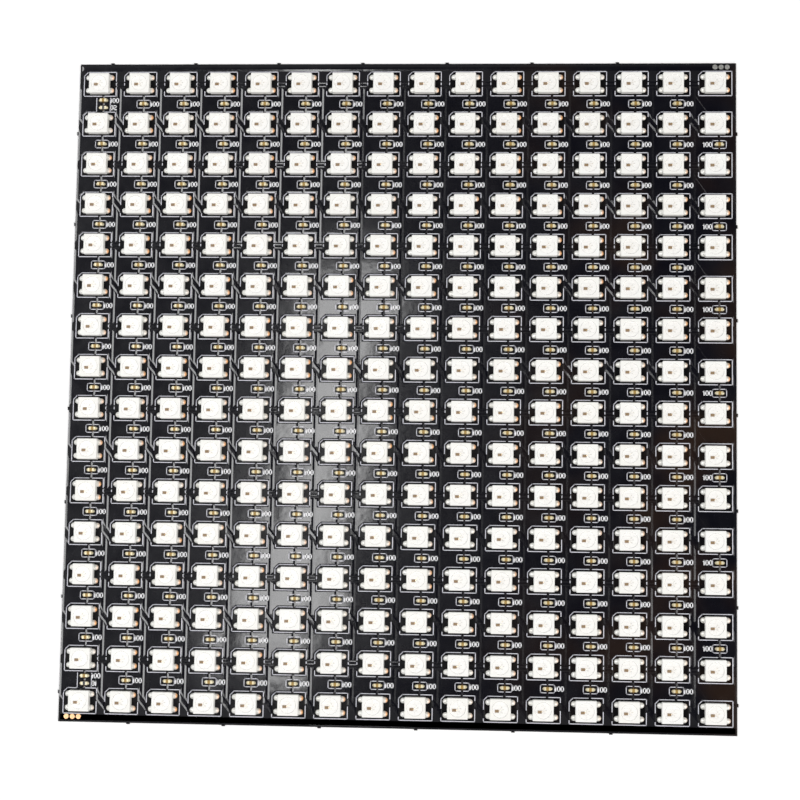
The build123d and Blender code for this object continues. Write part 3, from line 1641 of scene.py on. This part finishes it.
    def build(self, spots: ChipSpots, ink: MatterFinish, bright_ink: MatterFinish) -> None:
        """Make the printed lines, and the numbers in a whiter ink.

        Args:
            spots: Places of the chips.
            ink: Finish of the lines.
            bright_ink: Finish of the numbers.
        """
        material = ink.material()
        finish_piece(self.frames(), "printed_frames", material)
        finish_piece(self.brackets(spots), "printed_brackets", material)
        finish_piece(self.numbers(spots), "printed_numbers", bright_ink.material())


@dataclass(frozen=True)
class SoftBox:
    """A flat lamp that faces a point of the panel, with its length up the panel's columns."""

    name: str
    middle: Place
    width: float
    length: float
    brightness: float
    aim: Place = (0.0, 0.0, 0.0)
    colour: Colour = (1.0, 1.0, 1.0)
    roll: float = 0.0

    def build(self) -> None:
        """Hang the lamp, with the power that its brightness and area need."""
        lamp = bpy.data.lights.new(self.name, "AREA")
        lamp.shape = "RECTANGLE"
        lamp.size = self.width
        lamp.size_y = self.length
        lamp.energy = POWER_PER_BRIGHTNESS * self.brightness * self.width * self.length
        lamp.color = self.colour
        holder = bpy.data.objects.new(self.name, lamp)
        bpy.context.scene.collection.objects.link(holder)
        away = (Vector(self.middle) - Vector(self.aim)).normalized()
        right = Vector((0.0, 1.0, 0.0)).cross(away).normalized()
        facing = Matrix((right, away.cross(right), away)).transposed()
        turn = facing @ Matrix.Rotation(self.roll, 3, "Z")
        holder.matrix_world = Matrix.Translation(self.middle) @ turn.to_4x4()
        LOG.info("%s: lamp", self.name)


@dataclass(frozen=True)
class Studio:
    """Floor, surroundings and lamps."""

    floor_size: float = 8.0
    floor_drop: float = 0.05 * MM
    floor_colour: Colour = (0.93, 0.93, 0.93)
    floor_second_colour: Colour = (0.92, 0.92, 0.925)
    floor_mottle: float = 40 * MM
    floor_roughness: float = 0.9
    floor_specular: float = 0.1
    # Camera-only glow on the left and on the right of the panel; the lower right value paints shade on that
    # side.
    floor_lift: Point = (0.13, 0.06)
    floor_fade: Point = (0.02, 0.16)
    far_lift: float = 0.6
    far_fade: Point = (0.35, 1.3)
    room_brightness: float = 0.36
    seen_brightness: float = 0.9
    dark_brightness: float = 0.03
    dark_direction: Place = (0.10, 0.0, 1.0)
    dark_reach: Point = (0.25, 0.75)
    lamps: tuple[SoftBox, ...] = (
        SoftBox(
            "glare_strip",
            middle=(-0.110, 0.027, 0.800),
            aim=(-0.110, 0.027, 0.0),
            width=0.055,
            length=0.288,
            brightness=5.2,
            roll=-0.22,
        ),
        SoftBox("slope_strip", middle=(-0.57, 0.05, 0.90), width=0.24, length=0.9, brightness=3.9),
        SoftBox(
            "right_lamp",
            middle=(0.75, -0.45, 0.75),
            width=0.6,
            length=0.6,
            brightness=3.2,
            colour=(1.0, 0.98, 0.95),
        ),
    )

    def floor(self) -> None:
        """Lay a pale floor just under the panel, which is lifted to white where no shadow falls, less so on
        the right, where shade is painted.
        """
        shape = bmesh.new()
        place = Matrix.Translation((0.0, 0.0, -self.floor_drop))
        bmesh.ops.create_grid(shape, x_segments=2, y_segments=2, size=self.floor_size / 2, matrix=place)
        mesh = bpy.data.meshes.new("floor")
        shape.to_mesh(mesh)
        shape.free()
        mesh.materials.append(self._floor_material())
        floor = bpy.data.objects.new("floor", mesh)
        bpy.context.scene.collection.objects.link(floor)

    def _floor_material(self) -> bpy.types.Material:
        """Make matt pale paper, with a little light of its own that only the camera sees; it is weaker on
        the right, a painted shade.

        Returns:
            The material.
        """
        shader = Shader("floor_paper")
        shader.set(
            Roughness=self.floor_roughness,
            Specular_IOR_Level=self.floor_specular,
            Emission_Color=self.floor_colour,
        )
        clouds = shader.noise(self.floor_mottle, detail=3.0)
        mottle = shader.blend(clouds, self.floor_colour, self.floor_second_colour)
        shader.link(mottle, shader.surface.inputs["Base Color"])
        path = shader.node("ShaderNodeLightPath")
        away = shader.node("ShaderNodeVectorMath", operation="LENGTH")
        shader.link(shader.coordinates(), away.inputs[0])
        # Painted shade: the glow falls off towards the right.
        near_glow = shader.remap(shader.axis("X"), self.floor_fade, self.floor_lift)
        far_glow = shader.remap(away.outputs["Value"], self.far_fade, (0.0, self.far_lift))
        glow = shader.sums("ADD", near_glow, far_glow)
        lift = shader.sums("MULTIPLY", path.outputs["Is Camera Ray"], glow)
        shader.link(lift, shader.surface.inputs["Emission Strength"])
        return shader.material

    def surroundings(self) -> None:
        """Make an even white room with a dark patch overhead; the camera sees it all lit."""
        world = bpy.data.worlds.new("room")
        world.use_nodes = True
        bpy.context.scene.world = world
        room = NodeTree(world.node_tree)
        apart = room.node("ShaderNodeVectorMath", operation="DISTANCE")
        room.link(room.node("ShaderNodeTexCoord").outputs["Generated"], apart.inputs[0])
        apart.inputs[1].default_value = Vector(self.dark_direction).normalized()
        levels = (self.dark_brightness, self.room_brightness)
        lit = room.remap(apart.outputs["Value"], self.dark_reach, levels)
        camera = room.node("ShaderNodeLightPath").outputs["Is Camera Ray"]
        strength = room.sums("MAXIMUM", lit, room.sums("MULTIPLY", camera, self.seen_brightness))
        background = room.tree.nodes["Background"]
        background.inputs["Color"].default_value = (1.0, 1.0, 1.0, 1.0)
        room.link(strength, background.inputs["Strength"])

    def build(self) -> None:
        """Set up the floor, the room and the lamps, and the plain view settings."""
        self.floor()
        self.surroundings()
        for lamp in self.lamps:
            lamp.build()
        bpy.context.scene.view_settings.view_transform = "Standard"
        LOG.info("studio: %d lamps", len(self.lamps))


@dataclass(frozen=True)
class Viewpoint:
    """The photograph's camera, in millimetres and degrees."""

    place: Place = (28.37, -44.91, 429.44)
    turn: tuple[float, float, float] = (5.712, 3.656, 0.943)
    lens: float = 81.27
    sensor: float = 36.0

    def build(self) -> None:
        """Set up the camera."""
        camera = bpy.data.cameras.new("camera")
        camera.lens = self.lens
        camera.sensor_width = self.sensor
        camera.clip_start = 10 * MM
        holder = bpy.data.objects.new("camera", camera)
        bpy.context.scene.collection.objects.link(holder)
        holder.location = Vector(self.place) * MM
        holder.rotation_euler = [math.radians(angle) for angle in self.turn]
        bpy.context.scene.camera = holder
        LOG.info("camera: %.1f mm lens", self.lens)


def main() -> None:
    """Build the camera, the panel's parts and the studio, in that order."""
    logging.basicConfig(level=logging.INFO, format="%(name)s %(message)s")
    Viewpoint().build()
    layout = Layout.from_frame()
    chip_spots = ChipSpots(layout)
    Film(layout, chip_spots).build(
        board=FilmFinish(
            "bare_film",
            layout,
            colour=(0.006, 0.006, 0.008),
            worn_colour=(0.009, 0.009, 0.012),
            roughness=(0.40, 0.50),
            coat=0.15,
            dull_coat=0.1,
        ),
        glossy=FilmFinish(
            "pour_film",
            layout,
            colour=(0.003, 0.003, 0.006),
            worn_colour=(0.006, 0.006, 0.009),
        ),
        shaded=FilmFinish(
            "bay_film",
            layout,
            colour=(0.004, 0.004, 0.005),
            worn_colour=(0.007, 0.006, 0.007),
            coat=0.0,
            dull_coat=0.0,
        ),
        bare=MatterFinish(
            "bare_base",
            colour=(0.050, 0.024, 0.006),
            second_colour=(0.085, 0.045, 0.012),
            roughness=(0.5, 0.6),
            grain=0.2 * MM,
        ),
    )
    housings = Housings(layout)
    housings.build(MouldingFinish(layout))
    Joints(layout).build(
        solder=SolderFinish(
            "led_solder",
            layout,
            colour=(0.96, 0.96, 0.92),
            second_colour=(0.92, 0.90, 0.82),
            roughness=(0.4, 0.55),
            metallic=0.3,
        ),
        metal=MetalFinish(
            "terminal_silver",
            layout,
            colour=(0.96, 0.95, 0.92),
            second_colour=(0.92, 0.91, 0.88),
            roughness=(0.4, 0.5),
            metallic=0.3,
        ),
    )
    Optics(layout, housings).build(
        plating=MetalFinish(
            "frame_plating",
            layout,
            colour=(0.97, 0.96, 0.94),
            second_colour=(0.95, 0.93, 0.90),
            roughness=(0.5, 0.6),
            metallic=0.2,
        ),
        silicon=MatterFinish(
            "driver_silicon",
            colour=(0.20, 0.105, 0.026),
            second_colour=(0.27, 0.155, 0.045),
            roughness=(0.45, 0.55),
            depth=0.001 * MM,
        ),
        emitter=MatterFinish(
            "emitter_crystal",
            colour=(0.86, 0.84, 0.76),
            second_colour=(0.80, 0.81, 0.82),
            roughness=(0.2, 0.3),
        ),
        gold=MetalFinish(
            "bond_gold",
            layout,
            colour=(0.95, 0.72, 0.35),
            second_colour=(0.90, 0.66, 0.30),
            roughness=(0.2, 0.3),
        ),
        resin=MatterFinish(
            "clear_resin",
            colour=(0.97, 0.97, 0.95),
            second_colour=(0.96, 0.96, 0.94),
            roughness=(0.10, 0.18),
            depth=0.001 * MM,
            alpha=0.1,
        ),
    )
    Chips(layout, chip_spots).build(
        ceramic=MatterFinish(
            "capacitor_ceramic",
            colour=(0.32, 0.20, 0.045),
            second_colour=(0.42, 0.27, 0.07),
            roughness=(0.35, 0.5),
            grain=0.2 * MM,
        ),
        alumina=MatterFinish(
            "resistor_alumina",
            colour=(0.72, 0.72, 0.70),
            second_colour=(0.62, 0.62, 0.60),
            roughness=(0.5, 0.6),
            grain=0.2 * MM,
        ),
        glaze=MatterFinish(
            "resistor_glaze",
            colour=(0.03, 0.035, 0.035),
            second_colour=(0.06, 0.06, 0.055),
            roughness=(0.25, 0.35),
            grain=0.2 * MM,
        ),
        solder=MetalFinish(
            "chip_solder",
            layout,
            colour=(0.84, 0.77, 0.56),
            second_colour=(0.74, 0.62, 0.36),
            roughness=(0.4, 0.55),
            metallic=0.45,
        ),
    )
    Legend(layout).build(
        chip_spots,
        ink=MatterFinish(
            "legend_ink",
            colour=(0.70, 0.70, 0.76),
            second_colour=(0.58, 0.58, 0.65),
            roughness=(0.45, 0.6),
        ),
        bright_ink=MatterFinish(
            "number_ink",
            colour=(0.94, 0.94, 0.96),
            second_colour=(0.88, 0.88, 0.91),
            roughness=(0.45, 0.6),
        ),
    )
    copper = MetalFinish(
        "bare_copper",
        layout,
        colour=(0.90, 0.52, 0.28),
        second_colour=(0.86, 0.60, 0.38),
        roughness=(0.35, 0.5),
    )
    dress_node("lower_wire_lands", copper.material())
    tinned = MetalFinish(
        "tinned_copper",
        layout,
        colour=(0.92, 0.91, 0.88),
        second_colour=(0.78, 0.77, 0.72),
        roughness=(0.3, 0.45),
    )
    dress_node("upper_wire_lands", tinned.material())
    Studio().build()


if __name__ == "__main__":
    main()
